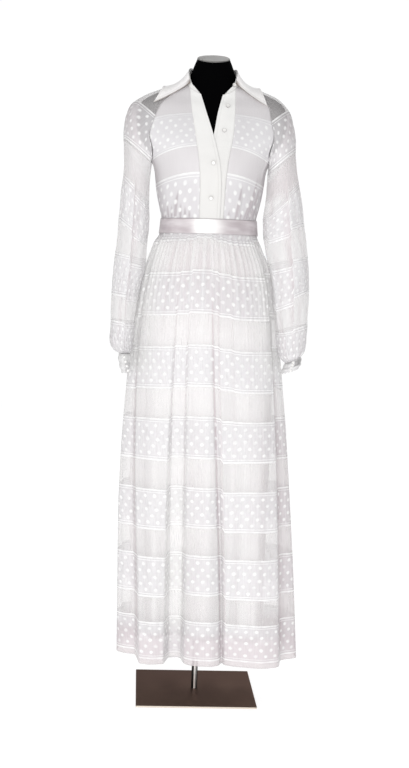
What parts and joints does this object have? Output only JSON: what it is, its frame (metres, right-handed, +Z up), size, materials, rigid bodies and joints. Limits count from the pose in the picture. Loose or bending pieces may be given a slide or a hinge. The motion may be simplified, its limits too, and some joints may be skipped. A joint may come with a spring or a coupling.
{
  "type": "shirtwaist evening gown on dress form",
  "caption": "Long-sleeved shirtwaist maxi gown of banded sheer cloth over a lining, with pointed collar, ribbon belt and gathered skirt, on a limbless dress form and stand.",
  "frame": {"origin": "centre of the base plate's underside", "axes": "+Z up along the pole, -Y towards the gown's front, +X towards the wearer's left"},
  "size_m": [0.4906, 0.3483, 1.6129],
  "materials": {
    "organza": "sheer white organza with woven bands of dots",
    "lining": "plain white lining",
    "placket": "doubled and faced organza",
    "satin": "satin ribbon",
    "form": "matt black",
    "cap": "satin grey",
    "steel": "brushed",
    "bronze": "dark bronze, satin"
  },
  "bodies": {
    "root": {"base_plate": "bronze", "pole": "steel", "dress_form": "form", "neck_cap": "cap", "bodice_front_right": "organza", "bodice_front_left": "organza", "bodice_back": "organza", "sleeve_right_upper": "organza", "sleeve_right_lower": "organza", "sleeve_left_upper": "organza", "sleeve_left_lower": "organza", "skirt_front": "organza", "skirt_back": "organza", "skirt_lining": "lining", "placket_right": "placket", "placket_left": "placket", "cuff_right": "placket", "cuff_left": "placket", "collar_stand": "placket", "collar": "placket", "belt": "satin", "button_1": "placket", "button_2": "placket", "button_3": "placket", "button_4": "placket", "button_5": "placket", "cuff_button_right_1": "placket", "cuff_button_right_2": "placket", "cuff_button_right_3": "placket", "cuff_button_right_4": "placket", "cuff_button_left_1": "placket", "cuff_button_left_2": "placket", "cuff_button_left_3": "placket", "cuff_button_left_4": "placket"}
  },
  "joints": []
}
